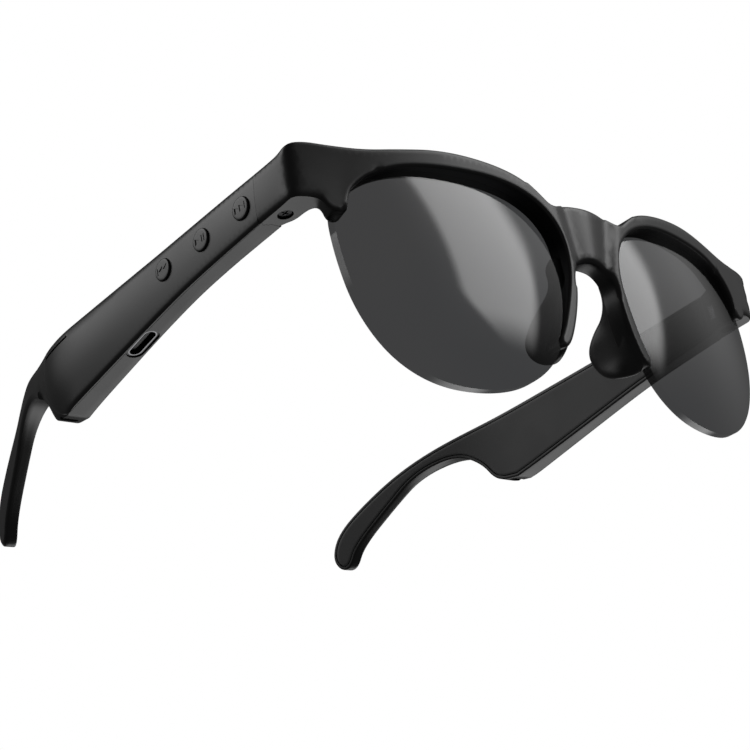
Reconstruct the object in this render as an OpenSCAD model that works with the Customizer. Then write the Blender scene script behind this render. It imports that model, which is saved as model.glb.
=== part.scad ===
// Half-rim smart sunglasses with speakers, buttons and a charging port in the temples.
// Everything is drawn level, with X to the wearer's left, Y to the back of the head and Z up,
// its origin between the lenses at the height of the temples' tops. stand() then sets the
// open glasses down on the lower edges of the lenses and on the ear tips.

/* [Front] */
// Radius of the front's curve, seen from above
front_radius = 245; // [240:1:250]
// Lean of the front, so that the lower rim is nearer the cheeks
front_lean = 7.4; // [7:0.1:7.8]
// Depth of the front from its face to its back
front_depth = 5; // [4.8:0.1:5.1]
// Half of the width across the end pieces
half_width = 75; // [74.9:0.1:75.2]

/* [Lenses] */
// Radius of the lens's front surface
lens_radius = 110; // [105:1:115]
// Thickness of a lens
lens_thickness = 2; // [1.8:0.1:2]

/* [Temples] */
// Distance from the middle to a temple's inner face, at the hinge
temple_in = 70.6; // [70.5:0.1:70.8]
// Distance from the middle to the seam between the temple's body and its outer cover, at the hinge
cover_seam = 74.5; // [74.5:0.05:74.6]
// Where the temple starts, behind the end piece
temple_start = 12.7; // [12.6:0.1:12.8]
// Wall of the temple's body round its electronics
wall = 1.2; // [1:0.1:1.4]
// Thickness of the flat inner cover
inner_cover_t = 0.7; // [0.6:0.05:0.75]
// Radius of the outer cover's crown
crown_radius = 36; // [36:1:40]
// Radius of the long edge between the temple's top and its outer face
top_edge_r = 2.5; // [2:0.1:2.6]

/* [Hinges] */
// Distance from the middle to a hinge's axis
pivot_x = 71.7; // [71.6:0.05:71.8]
// Distance of a hinge's axis behind the origin
pivot_y = 8.9; // [8.8:0.05:8.9]
// Radius of the hinge screw's shank
screw_r = 0.6; // [0.5:0.05:0.7]
// Radial running clearance of the screw in the leaf
running = 0.05; // [0.03:0.01:0.08]
// Radius of the round lugs above and below the hinge leaf
lug_r = 3.4; // [3.3:0.05:3.5]

/* [Buttons and port] */
// Radius of a button
button_r = 2.4; // [2.2:0.1:2.5]
// Distance between buttons
button_pitch = 13.1; // [12.6:0.1:13.4]
// Travel of a button
button_travel = 0.3; // [0.2:0.05:0.3]
// Middle of the charging port along the temple
port_y = 57.5; // [56.5:0.5:58]

/* [Hidden] */

$fn = 48;
SMOOTH = 6;               // points on each rounded corner of an outline
BIG = 100;                // longer than any part that is cut to length
over = 1;                 // how far a cutter runs past what it cuts
SHELL_FN = 360;           // the front's and the lenses' large round surfaces

// The level glasses turn by this much about X to stand on lenses and ear tips.
stand_tilt = 8.16;
stand_back = -67.62;
stand_up = 46.65;

front_y = -9.6;           // the front's face at the middle, at height 0
lens_apex = [38, -4.9, -24];
lens_slope = [0.134, -0.09];
lens_center = lens_apex + lens_radius * unit([-lens_slope[0], 1, -lens_slope[1]]);

// Half of the front, seen from the front: [x, z], a third value of 0 marks a sharp corner.
FRONT_HALF = [
    [0, -1.8, 0], [7, -2], [11, -4], [15, -1], [19.5, 1.6], [28, 3.4], [40, 4.1],
    [51, 2.9], [58, 1.7], [66, 1.3, 0], [66.5, 1.3, 0], [66.5, -9.8, 0],
    [67.8, -9.8], [67.4, -12.4], [62.4, -12.4], [62.8, -10], [62, -7], [57.6, -3.6],
    [49.6, -0.9], [38, -0.1], [25, -0.4], [15, -3.6], [9.4, -9.4], [8.4, -16.5], [10, -23.5],
    [13, -31.4], [16, -35.8], [12.2, -35.8], [9.2, -30], [7, -23], [6.8, -17.5], [3.6, -14.9],
    [0, -14.5, 0]
];

// Lens, seen from the front: [x, z].
LENS = [
    [65.8, -10], [65.6, -21], [63, -31.8], [56.6, -41], [47, -46.3], [35, -47.2], [24, -44.8],
    [15.4, -38.4], [11, -29], [8, -19], [8.4, -10.4], [14.8, -3], [25, 0.5], [38, 0.9],
    [51, 0.3], [61, -2.6]
];

temple_top_z = 0.6;       // height of the temple's top

// Temple, seen from the side: [y, z], a third value of 0 marks a sharp corner.
TEMPLE_SIDE = [
    [temple_start, temple_top_z, 0], [40, temple_top_z, 0], [60, 0.5], [94, 0.2], [111, -1.1],
    [124.6, -4], [137.2, -9], [147, -14.5], [150.6, -21.3], [148.4, -26], [144.8, -26.2],
    [141.6, -20.6], [128.4, -12.4], [118, -6.3], [104, -5.5], [96.4, -11], [92.8, -18],
    [85.5, -19.3, 0], [47, -13.4], [34, -11.8], [temple_start, -10.3, 0]
];

// Temple, seen from above: [x, y] along the inner face, then back along the outer face.
TEMPLE_PLAN_IN = [
    [temple_in - 0.9, temple_start, 0], [temple_in, 30], [temple_in + 0.3, 50],
    [temple_in, 66], [70.2, 84], [68.4, 96], [64.6, 112],
    [59, 133.5], [54.7, 148.6]
];
TEMPLE_PLAN_OUT = [
    [58, 149.8], [61.2, 138], [64.8, 125], [68.1, 116], [70, 111], [72.2, 104.5], [74.4, 96],
    [76.3, 89], [77.7, 82], [78.8, 70, 0], [78.8, temple_start, 0]
];

crown_z = -4.2;           // height of the crown's middle at the seam with the end piece
crown_in = 75.35;         // the crown's height at the seam with the end piece
crown_yaw = 1.6;          // it rises towards the back
seam_yaw = 0.95;          // and the cover's seam with it
crown_pitch = 3.3;        // and follows the temple's middle height downwards

pad_step = 1.2;           // the pad starts this far behind the rim's face

end_edge_r = 1.6;         // rounding of the end piece's top edge
lug_low = -10.2;          // underside of the end piece
lug_high = 1.1;           // top of the end piece
rim_end_back = 5.2;
leaf_low = -7.35;
leaf_high = -1.65;
leaf_gap = 0.05;          // free height above and below the leaf
leaf_t = 1.1;
barrel_r = 1.7;
leaf_end = 24;
leaf_x = 71.45;           // inner side of the leaf's plate
head_r = 1.35;            // hinge screw's head
head_h = 1.1;

belly_slope = 9.2;        // the temple's underside drops by this angle in front of the bulge
cavity_floor = 72;        // inner side of the room for the electronics
cavity_front = 26;
cavity_back = 86.8;
board_low_x = 72.95;
board_t = 0.6;
button_y = 16.9;
button_z = -5.2;
button_gap = 0.08;
switch_t = 0.3;
flange_r = 3;
flange_t = 0.25;
flange_x = 74.25;

port_x = 73.4;
port_w = 8.94;
port_h = 3.16;
port_wall = 0.3;
port_depth = 7;
port_back = 0.8;          // solid back end of the shell
port_step = 0.4;          // the shell's mouth lies this deep

outlet_x = 73.2;          // sound outlet under the back of the bulge
outlet_y = 88.6;
outlet_z = -18.6;
outlet_turn = 25;
outlet_w = 4.4;
outlet_h = 1.7;
outlet_deep = 4.5;
mesh_deep = 2;
mesh_inset = 0.8;
vent_place = [76.95, 80.2, -2.75]; // front end of the sound slot, high on the outer face
vent_w = 0.6;
vent_l = 11.4;
vent_deep = 2;
vent_tip = 84;            // it opens this far from straight up
vent_yaw = 6.5;           // and follows the outline, which falls inwards here

cover_margin = 0.8;       // the inner cover stays this far inside the outline
cover_gap = 0.1;
cell_t = 3;
speaker_t = 3;
board_y0 = 14.2;
board_y1 = 51;
button_proud = 0.45;
mark_r = 0.8;
mark_deep = 0.15;
arrow_l = 1.4;
bar_w = 0.28;
temple_low = -30;
temple_top = 5;

// Middle line of the wire inside the ear tip, seen from the side: [y, z].
CORE_SIDE = [[99, -2.8], [110, -3.4], [119, -5.1], [129, -8.8], [137, -12.4], [144, -18.6]];
core_w = 1.6;
core_t = 0.8;
core_deep = 1.2;

// The flat cable moulded into the brow, from one hinge to the other: its middle line, [x, z].
FLEX_HALF = [[0, -7], [7.5, -6.4], [13, -3.7], [17.5, -1.2], [24, 0.9], [32, 1.8], [42, 2.1],
             [50, 1.3], [58, -0.2], [67, -1.2]];
flex_w = 1;

function unit(v) = v / norm(v);
function xy(p) = [p[0], p[1]];
function sharp(p) = len(p) == 3;
function bend(a, b, c, n) = [
    for (i = [0:n]) let (t = i / SMOOTH)
        (1 - t)^2 * (a + b) / 2 + 2 * t * (1 - t) * b + t^2 * (b + c) / 2
];
function ring(p, i) = p[(i + len(p)) % len(p)];
// Rounds every corner of a closed outline, apart from those marked sharp.
function soft(p) = [
    for (i = [0:len(p) - 1])
        each sharp(p[i]) ? [xy(p[i])]
            : bend(xy(ring(p, i - 1)), xy(p[i]), xy(ring(p, i + 1)),
                   sharp(ring(p, i + 1)) ? SMOOTH : SMOOTH - 1)
];
// Moves every point of a smooth closed outline inwards by d, for an outline that runs clockwise.
function inset(p, d) = [
    for (i = [0:len(p) - 1]) let (t = unit(ring(p, i + 1) - ring(p, i - 1)))
        p[i] + d * [t[1], -t[0]]
];

module stand() {
    translate([0, stand_back, stand_up]) rotate([-stand_tilt, 0, 0]) children();
}

// side = 1 is the wearer's left, -1 the right.
module on_side(side) {
    if (side > 0) children();
    else mirror([1, 0, 0]) children();
}

// An [x, z] outline extruded through the whole depth.
module seen_from_front(outline) {
    translate([0, BIG / 2, 0]) rotate([90, 0, 0]) linear_extrude(BIG) polygon(outline);
}

// A [y, z] outline extruded between two distances from the middle.
module seen_from_side(outline, x0, x1) {
    translate([x0, 0, 0]) rotate([90, 0, 90]) linear_extrude(x1 - x0) polygon(outline);
}

// An [x, y] outline extruded between two heights.
module seen_from_above(outline, z0, z1) {
    translate([0, 0, z0]) linear_extrude(z1 - z0) polygon(outline);
}

module block(low, high) {
    translate(low) cube(high - low);
}

// A solid cylinder whose front is the front's curved face, moved back by depth.
module front_round(depth) {
    rotate([front_lean, 0, 0])
        translate([0, front_y + front_radius, -BIG / 2])
            cylinder(r = front_radius - depth, h = BIG, $fn = SHELL_FN);
}

module front_slab(from, to) {
    difference() {
        front_round(from);
        front_round(to);
    }
}

module lens_shape() {
    intersection() {
        seen_from_front(soft(LENS));
        difference() {
            translate(lens_center) sphere(r = lens_radius, $fn = SHELL_FN);
            translate(lens_center) sphere(r = lens_radius - lens_thickness, $fn = SHELL_FN);
        }
    }
}

module pivot(z0, z1, r) {
    translate([pivot_x, pivot_y, z0]) cylinder(r = r, h = z1 - z0);
}

// The block behind the front's corner: wall outside, a lug above and one below the hinge leaf.
module end_piece() {
    corner = [
        [62, -6, 0], [66, -0.9, 0], [half_width, 1.5], [half_width, 9, 0],
        [half_width, temple_start - 0.2, 0],
        [pivot_x, temple_start - 0.2, 0], [pivot_x, pivot_y, 0], [pivot_x - lug_r, pivot_y, 0],
        [67.8, 5.2], [62, 3.2, 0]
    ];
    difference() {
        intersection() {
            union() {
                seen_from_above(soft(corner), lug_low, lug_high);
                pivot(lug_low, lug_high, lug_r);
            }
            front_round(0);
        }
        translate([half_width, -BIG / 2, lug_high]) edge_rounding(end_edge_r, BIG);
    }
}

module hinge_room() {
    low = leaf_low - leaf_gap;
    high = leaf_high + leaf_gap;
    block([60, pivot_y - barrel_r - 0.3, low], [pivot_x + barrel_r + 0.3, temple_start, high]);
}

// The end of the rim is thinned from behind, so that the folded ear tip passes it.
module ear_tip_room() {
    block([60, rim_end_back, -BIG], [70, BIG, lug_low - 0.4]);
}

module screw_holes() {
    pivot(lug_low - 1, 0, screw_r);
    pivot(lug_low - 1, lug_low + head_h + 0.3, head_r);
}

module front_frame() {
    color("#1c1c1e")
        difference() {
            union() {
                for (side = [-1, 1]) on_side(side) {
                    intersection() {
                        seen_from_front(soft(FRONT_HALF));
                        front_slab(0, front_depth);
                    }
                    end_piece();
                }
            }
            for (side = [-1, 1]) on_side(side) {
                lens_shape();
                hinge_room();
                screw_holes();
                ear_tip_room();
            }
            flex_strip();
        }
}

module lens(side) {
    color([0.2, 0.2, 0.21, 0.6]) on_side(side) lens_shape();
}

// The soft pad on the nose side of a rim, reaching a little behind the lens.
module nose_pad(side) {
    spots = [
        [7.6, 0.5, -15.5, 1.4], [8.4, -4.2, -18.6, 1.5], [10.2, 4.4, -29, 1.6],
        [10.8, 3, -32.4, 1.6], [12.6, -1, -36, 1.6], [11.6, -3, -34, 1.4]
    ];
    color("#161617")
        on_side(side)
            difference() {
                intersection() {
                    hull()
                        for (s = spots)
                            translate([s[0], s[1], s[2]]) sphere(r = s[3], $fn = 24);
                    front_round(pad_step);
                }
                rim_and_lens_space();
            }
}

// All that lies within the outlines of rim and lens, in front of the rim's back.
module rim_and_lens_space() {
    difference() {
        union() {
            seen_from_front(soft(FRONT_HALF));
            seen_from_front(soft(LENS));
        }
        front_round(front_depth);
    }
}

module hinge_screws() {
    color("#3a3a3c")
        for (side = [-1, 1]) on_side(side)
            difference() {
                union() {
                    pivot(lug_low + 0.3, lug_low + 0.3 + head_h, head_r);
                    pivot(lug_low + 0.3, 0, screw_r);
                }
                cross_recess();
            }
}

module cross_recess() {
    arm = 0.85;
    half_slot = 0.18;
    deep = lug_low + 0.3 + 0.6;
    for (turn = [0, 90])
        translate([pivot_x, pivot_y, 0]) rotate([0, 0, turn])
            block([-arm, -half_slot, lug_low], [arm, half_slot, deep]);
}

module flex_strip() {
    edge = [for (p = FLEX_HALF) p + [0, flex_w / 2]];
    back = [for (i = [len(FLEX_HALF) - 1:-1:0]) FLEX_HALF[i] - [0, flex_w / 2]];
    for (side = [-1, 1]) on_side(side)
        intersection() {
            seen_from_front(concat(edge, back));
            front_slab(2.2, 2.5);
        }
}

module brow_flex() {
    color("#b8793a") flex_strip();
}

// The round cylinder that gives the outer cover its crown.
module crown(extra) {
    translate([crown_in - crown_radius, temple_start, crown_z])
        rotate([-crown_pitch, 0, -crown_yaw])
            rotate([-90, 0, 0])
                translate([0, 0, -BIG / 2])
                    cylinder(r = crown_radius + extra, h = 2.5 * BIG, $fn = SHELL_FN);
}

module temple_plan(extra) {
    plan = soft(concat(TEMPLE_PLAN_IN, TEMPLE_PLAN_OUT));
    seen_from_above(plan, temple_low - extra, temple_top + extra);
}

// The temple's side outline drawn in by margin, between two distances from the middle.
module temple_side(margin, x0, x1) {
    seen_from_side(inset(soft(TEMPLE_SIDE), margin), x0, x1);
}

module temple_volume() {
    difference() {
        intersection() {
            temple_side(0, 50, 80);
            temple_plan(0);
            crown(0);
        }
        translate([crown_in, temple_start, temple_top_z]) rotate([0, 0, -crown_yaw])
            edge_rounding(top_edge_r, 1.5 * BIG);
    }
}

// What a rounded edge leaves out: the edge runs along Y, with its solid below it and inside it.
module edge_rounding(r, length) {
    difference() {
        block([-r, -over, -r], [BIG, length, BIG]);
        translate([-r, -2 * over, -r]) rotate([-90, 0, 0])
            cylinder(r = r, h = length + 4 * over);
        block([-BIG, -2 * over, -BIG], [-r + 0.001, length + 2 * over, -r + 0.001]);
    }
}

// A sheet that follows the temple's inner face, between two depths into it.
module inner_layer(from, to) {
    difference() {
        translate([from, 0, 0]) temple_plan(0);
        translate([to, 0, 0]) temple_plan(1);
    }
}

module behind(y) {
    block([-BIG, y, -BIG], [BIG, 3 * BIG, BIG]);
}

// All that lies between the middle and the cover's seam.
module inside_seam() {
    translate([cover_seam, temple_start, 0]) rotate([0, 0, -seam_yaw])
        block([-BIG, -BIG, -BIG], [0, 2 * BIG, BIG]);
}

module leaf_plate() {
    block([leaf_x, pivot_y, leaf_low], [leaf_x + leaf_t, leaf_end, leaf_high]);
}

module core_shape() {
    upper = [for (p = CORE_SIDE) p + [0, core_w / 2]];
    lower = [for (i = [len(CORE_SIDE) - 1:-1:0]) CORE_SIDE[i] - [0, core_w / 2]];
    intersection() {
        seen_from_side(concat(upper, lower), 50, 80);
        inner_layer(core_deep, core_deep + core_t);
    }
}

// Room for the button board, the leaf's end and the electronics behind it.
module electronics_room() {
    block([board_low_x - 0.3, temple_start + 1, -9.1], [cover_seam + 1, cavity_front + 1, -0.6]);
    intersection() {
        temple_side(wall, cavity_floor, cover_seam + 1);
        block([cavity_floor, cavity_front, -BIG], [cover_seam + 1, cavity_back, BIG]);
    }
}

module stadium(length, width, h) {
    for (end = [-1, 1])
        translate([0, end * (length - width) / 2, 0]) cylinder(d = width, h = h);
    translate([-width / 2, -(length - width) / 2, 0]) cube([width, length - width, h]);
}

// Places a shape on the temple's underside, its own Z pointing out of the temple.
module on_belly(y, x) {
    translate([x, y, belly_z(y)]) rotate([-belly_slope, 0, 0]) mirror([0, 0, 1]) children();
}

function belly_z(y) = TEMPLE_SIDE[18][1] - (y - TEMPLE_SIDE[18][0]) * tan(belly_slope);

module outlet_hole(depth, margin) {
    translate([outlet_x, outlet_y, outlet_z]) rotate([outlet_turn, 0, 0])
        translate([0, 0, -depth]) rotate([0, 0, 90])
            stadium(outlet_w + 2 * margin, outlet_h + 2 * margin, 2 * depth);
}

// The sound slot's space between two depths below the temple's surface.
module vent_hole(from, to) {
    translate(vent_place) rotate([0, vent_tip, vent_yaw])
        block([-vent_w / 2, 0, -to], [vent_w / 2, vent_l, -from]);
}

module temple_body(side) {
    color("#1d1d1f")
        on_side(side)
            difference() {
                intersection() {
                    temple_volume();
                    inside_seam();
                }
                electronics_room();
                leaf_plate();
                core_shape();
                intersection() {
                    temple_side(cover_margin, 50, 80);
                    inner_layer(-1, inner_cover_t);
                    behind(temple_start + cover_margin);
                }
                outlet_hole(outlet_deep, 0);
                vent_hole(-vent_deep, vent_deep);
                if (side < 0) port_hole();
            }
}

module outer_cover(side) {
    color("#242426")
        on_side(side)
            difference() {
                temple_volume();
                inside_seam();
                vent_hole(-vent_deep, vent_deep);
                if (side < 0)
                    for (i = [0:2]) button_axis(i) cylinder(r = button_r + button_gap, h = BIG);
            }
}

module inner_cover(side) {
    color("#2a2a2c")
        on_side(side)
            intersection() {
                temple_side(cover_margin + cover_gap, 50, 80);
                inner_layer(0, inner_cover_t - cover_gap / 2);
                behind(temple_start + cover_margin + cover_gap);
            }
}

module hinge_leaf(side) {
    color("#8a8a8c")
        on_side(side)
            difference() {
                union() {
                    pivot(leaf_low, leaf_high, barrel_r);
                    leaf_plate();
                }
                pivot(-BIG, BIG, screw_r + running);
            }
}

module core_wire(side) {
    color("#9a9a9c") on_side(side) core_shape();
}

// A flat cell that follows the belly of the temple.
module battery(side, y0, y1) {
    bottom = 2.2;
    top = -1.4;
    outline = [[y0, top], [y1, top], [y1, belly_z(y1) + bottom], [y0, belly_z(y0) + bottom]];
    color("#7d8590")
        on_side(side) seen_from_side(outline, cavity_floor, cavity_floor + cell_t);
}

module speaker(side) {
    basket = [[78.4, -2.4], [86.4, -2.4], [86.4, -15.4], [78.4, -15.4]];
    cone = [[79.4, -3.4], [85.4, -3.4], [85.4, -14.4], [79.4, -14.4]];
    color("#4a4a4c")
        on_side(side)
            difference() {
                seen_from_side(soft(basket), cavity_floor, cavity_floor + speaker_t);
                seen_from_side(soft(cone), cavity_floor + speaker_t - 0.6, BIG);
            }
}

// The fine cloth behind the sound outlet.
module outlet_mesh(side) {
    color("#0c0c0d")
        on_side(side)
            intersection() {
                outlet_hole(mesh_deep, 0);
                temple_side(mesh_inset, cavity_floor - 2, cover_seam);
            }
}

// The fine cloth inside the slot in the temple's top edge.
module vent_mesh(side) {
    color("#0c0c0d")
        on_side(side)
            vent_hole(0.6, 0.8);
}

module link_board_left() {
    color("#1f5a35")
        block([board_low_x, 27, -10], [board_low_x + board_t, 38, -1.4]);
}

// Along a button's axis, from the middle of the head outwards.
module button_axis(i) {
    translate([0, button_y + i * button_pitch, button_z]) rotate([0, 90, 0]) children();
}

module main_board() {
    color("#1f5a35")
        on_side(-1) block([board_low_x, board_y0, -9], [board_low_x + board_t, board_y1, -1]);
}

// The radio, its aerial and the charging controller, on the board's inner side and end.
module board_chips() {
    x = board_low_x;
    color("#111112")
        on_side(-1) {
            block([x - 0.9, 28, -8], [x, 33, -3]);
            block([x - 0.8, 35, -7], [x, 38, -4]);
            block([x - 0.8, 41, -8.4], [x, 44, -1.6]);
        }
}

module microphone() {
    color("#c0a050")
        on_side(-1)
            block([board_low_x + board_t, 20.6, -8.6], [board_low_x + board_t + 0.9, 24, -6]);
}

module tact_switches() {
    base = board_low_x + board_t;
    color("#d0d0d2")
        on_side(-1)
            for (i = [0:2]) {
                y = button_y + i * button_pitch;
                block([base, y - 1.6, button_z - 1.6], [base + switch_t, y + 1.6, button_z + 1.6]);
                button_axis(i) translate([0, 0, base])
                    cylinder(r = 0.7, h = flange_x - button_travel - 0.02 - base);
            }
}

module port_hole() {
    on_belly(port_y, port_x) {
        translate([0, 0, -port_depth - port_step]) stadium(port_w, port_h, BIG / 10);
        translate([0, 0, -port_step]) stadium(port_w + 1, port_h + 1, 2 * port_step);
    }
}

module usb_c_shell() {
    color("#c8c8ca")
        on_side(-1) on_belly(port_y, port_x) translate([0, 0, -port_depth - port_step])
            difference() {
                stadium(port_w, port_h, port_depth);
                translate([0, 0, port_back])
                    stadium(port_w - 2 * port_wall, port_h - 2 * port_wall, port_depth);
            }
}

module usb_c_tongue() {
    color("#101011")
        on_side(-1) on_belly(port_y, port_x) translate([0, 0, -port_depth - port_step + port_back])
            block([-0.35, -3.35, 0], [0.35, 3.35, port_depth - port_back - 0.8]);
}

// An engraved mark, in [along the temple towards the front, upwards], round the button's middle.
module mark(outline, i) {
    y = button_y + i * button_pitch;
    top = crown_in + (y - temple_start) * tan(crown_yaw);
    points = [for (p = outline) [y - p[0], button_z + p[1]]];
    seen_from_side(points, top - mark_deep, top + 1);
}

module arrow(at, way, i) {
    mark([[at, -mark_r], [at, mark_r], [at + way * arrow_l, 0]], i);
}

module bar(at, i) {
    half = bar_w / 2;
    mark([[at - half, -mark_r], [at - half, mark_r], [at + half, mark_r], [at + half, -mark_r]], i);
}

// A button's cap and its flange under the cover; its children are cut into its top.
module button(i) {
    color("#2b2b2d")
        on_side(-1)
            difference() {
                union() {
                    intersection() {
                        button_axis(i) cylinder(r = button_r, h = BIG);
                        crown(button_proud);
                        block([flange_x, 0, -BIG], [BIG, BIG, BIG]);
                    }
                    button_axis(i) translate([0, 0, flange_x]) cylinder(r = flange_r, h = flange_t);
                }
                children();
            }
}

module button_next() {
    button(0) {
        arrow(-1.7, 1, 0);
        arrow(-0.2, 1, 0);
        bar(1.5, 0);
    }
}

module button_play() {
    button(1) {
        arrow(-1.6, 1, 1);
        bar(0.6, 1);
        bar(1.3, 1);
    }
}

module button_previous() {
    button(2) {
        arrow(1.7, -1, 2);
        arrow(0.2, -1, 2);
        bar(-1.5, 2);
    }
}

stand() front_frame();
stand() lens(1);  // lens_left
stand() lens(-1);  // lens_right
stand() nose_pad(1);  // nose_pad_left
stand() nose_pad(-1);  // nose_pad_right
stand() hinge_screws();
stand() brow_flex();
stand() temple_body(1);  // temple_body_left
stand() outer_cover(1);  // outer_cover_left
stand() inner_cover(1);  // inner_cover_left
stand() hinge_leaf(1);  // hinge_leaf_left
stand() core_wire(1);  // core_wire_left
stand() battery(1, 40, 77);  // battery_left
stand() speaker(1);  // speaker_left
stand() outlet_mesh(1);  // outlet_mesh_left
stand() vent_mesh(1);  // vent_mesh_left
stand() temple_body(-1);  // temple_body_right
stand() outer_cover(-1);  // outer_cover_right
stand() inner_cover(-1);  // inner_cover_right
stand() hinge_leaf(-1);  // hinge_leaf_right
stand() core_wire(-1);  // core_wire_right
stand() battery(-1, 63.5, 77);  // battery_right
stand() speaker(-1);  // speaker_right
stand() outlet_mesh(-1);  // outlet_mesh_right
stand() vent_mesh(-1);  // vent_mesh_right
stand() link_board_left();
stand() main_board();
stand() board_chips();
stand() microphone();
stand() tact_switches();
stand() usb_c_shell();
stand() usb_c_tongue();
stand() button_next();
stand() button_play();
stand() button_previous();
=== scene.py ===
"""Half-rim smart sunglasses, drawn level in millimetres and then stood on lenses and ear tips."""
import math

import bmesh
import bpy
import numpy as np
from mathutils import Matrix, Vector
from mathutils.geometry import delaunay_2d_cdt


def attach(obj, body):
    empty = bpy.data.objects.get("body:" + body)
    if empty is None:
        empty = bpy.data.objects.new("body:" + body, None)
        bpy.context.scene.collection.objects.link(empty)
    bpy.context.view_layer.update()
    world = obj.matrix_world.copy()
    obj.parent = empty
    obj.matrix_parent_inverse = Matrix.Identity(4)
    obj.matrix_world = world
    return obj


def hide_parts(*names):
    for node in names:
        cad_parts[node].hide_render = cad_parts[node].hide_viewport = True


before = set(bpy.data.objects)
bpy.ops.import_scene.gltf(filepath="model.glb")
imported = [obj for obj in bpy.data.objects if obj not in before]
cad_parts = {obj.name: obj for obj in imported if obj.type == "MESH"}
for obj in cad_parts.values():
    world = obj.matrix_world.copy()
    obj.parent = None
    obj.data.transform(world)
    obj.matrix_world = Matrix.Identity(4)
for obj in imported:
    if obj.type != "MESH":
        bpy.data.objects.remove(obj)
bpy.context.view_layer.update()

MM = 0.001
STAND_TILT = 8.16
STAND_MOVE = (0.0, -67.62, 46.65)
STAND = Matrix.Translation(Vector(STAND_MOVE) * MM) @ Matrix.Rotation(
    math.radians(-STAND_TILT), 4, "X")

# Front: radius of its curve, lean, depth, and the corner that turns back to the hinge.
FRONT_R = 245.0
LEAN = 0.13
DEPTH = 5.0
FRONT_Y = -9.6
EDGE_SHARE = 0.49             # a rounding takes at most this share of the depth
INNER_SHIFT = 0.16            # brings the inner arc to the curve of the end piece
INNER_SETTLE = 8.0            # and the curve takes this long to reach its own line
BRIDGE_DEEP = 1.0             # the bridge's face is this far behind the rims at its sides
BRIDGE_FALL = (0.0, 0.45)     # between these shares of its half width
BRIDGE_CROWN = 0.8            # and comes forward again in its middle
BRIDGE_SWELL = (0.2, 1.0)
BRIDGE_HALF = 9.6             # half width of the bridge at its middle height
BRIDGE_Z = -8.0
BRIDGE_FLARE = 0.28           # it widens upwards
BRIDGE_LOW = -17.0
CORNER_S = 73.575
CORNER_R = 2.0
CORNER_MID = (73.0, 3.363)
LOW_LEAN = 0.09               # lean of the end piece below the temple's height
STRAIGHT = 64.0               # the inner side stops leaning from here on,
STRAIGHT_RUN = 8.0            # over this distance
END_Y = 17.0                  # the end piece is drawn longer, then cut off at the seam
SEAM_Y = 12.65
SEAM_GAP = 0.03
CORNER_TURN = math.pi / 2 - math.asin((CORNER_S - CORNER_MID[0]) / CORNER_R)
ARC_END = CORNER_S + CORNER_R * CORNER_TURN
S_END = ARC_END + END_Y - CORNER_MID[1]
FLUSH = (ARC_END - 2, ARC_END + 4)   # here the end piece takes over the temple's crown
# The rim's end has a flat back between two distances along the face, below a height.
RIM_END = (60, 69.5)
RIM_END_TOP = -9.8
RIM_END_BACK = 5.2
# Roundings of the front's outline: width, depth and crease.
END_EDGE = (1.5, 0.55, 0.8)
BROW_EDGE = (1.1, 1.1, 0)
RIM_EDGE = (0.6, 0.6, 0)
REAR_EDGE = (0.5, 0.5, 0)
# The brow's edge is everything above one height near the middle and another near the ends.
BROW_Z = (0.6, -3.4)
BROW_CHANGE = 55
BRIDGE_EDGE_S = 7             # the bridge's lower edge is as round as the brow
UNDER_END = (69, -9)          # the end piece's underside: beyond this distance, below this height
# Its radius shrinks towards the end piece and grows again at the corner.
BROW_ENDS = 58
BROW_LOSS = 0.4
BROW_LOSS_RUN = (58, 72)
CORNER_GAIN = 1.0
CORNER_GAIN_RUN = (73, 79)

# Half of the front, from the middle outwards and back: distance along the face, height.
FRONT_HALF = [
    (0, -1.8), (7, -2), (11, -4), (15, -1), (19.5, 1.6), (28, 3.4), (40, 4.1),
    (51, 2.7), (58, 1.7), (66, 1.6), (71.5, 1.9), (75, 1.2), (78.5, 0.6), (S_END, 0.6, 0),
    (S_END, -10.65, 0), (76, -10.2), (69, -9.8), (67.4, -12.4), (63.2, -12.4), (63.2, -10),
    (62, -7), (57.6, -3.6), (49.6, -0.9), (38, -0.1), (25, -0.4), (15, -3.6), (9.4, -9.4),
    (8.4, -16.5), (10, -23.5), (13, -31.4), (16, -35.8), (12.2, -35.8), (9.2, -30),
    (7, -23), (6.8, -17.5), (3.6, -14.9), (0, -14.5),
]
# The front's inner side in plan: distance along the face, x, y.
INNER_CURVE = [
    (56, 55.2, 1.75), (60, 58.8, 2.6), (66, 64.65, 4.1), (CORNER_S, 67.7, 5.4),
    (ARC_END, 68.2, 7.0), (ARC_END + 3, 68.3, 9.8), (ARC_END + 6, 69.6, 11.8), (S_END, 71.7, 17),
]

# Lens, seen from the front: x, z.
LENS = [
    (65.8, -10), (65.6, -21), (63.0, -31.8), (56.6, -41), (47, -46.3), (35, -47.2),
    (24, -44.8), (15.4, -38.4), (11, -29), (8, -19), (8.4, -10.4), (14.8, -3), (25, 0.5), (38, 0.9),
    (51, 0.3), (61, -2.6),
]
LENS_R = 110.0
LENS_T = 2.0
LENS_APEX = (38.0, -4.9, -24.0)
LENS_SLOPE = (0.134, -0.09)
LENS_EDGE = (0.2, 0.2, 1)
LENS_REAR_EDGE = (0.15, 0.15, 1)

# Temple, seen from the side: y, z.
TEMPLE_START = 12.7
DRAWN_START = 5.0             # it is drawn longer, then cut off at the seam
TEMPLE_SIDE = [
    (DRAWN_START, 0.6, 0), (40, 0.6, 0), (60, 0.5), (94, 0.2), (111, -1.1), (124.6, -4),
    (137.2, -9), (147, -14.5), (150.6, -21.3), (148.4, -26), (144.8, -26.2), (141.6, -20.6),
    (128.4, -12.4), (118, -6.3), (104, -5.5), (96.4, -11), (92.8, -18), (85.5, -19.3, 0),
    (47, -13.4), (34, -11.8), (DRAWN_START, -10, 0),
]
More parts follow.
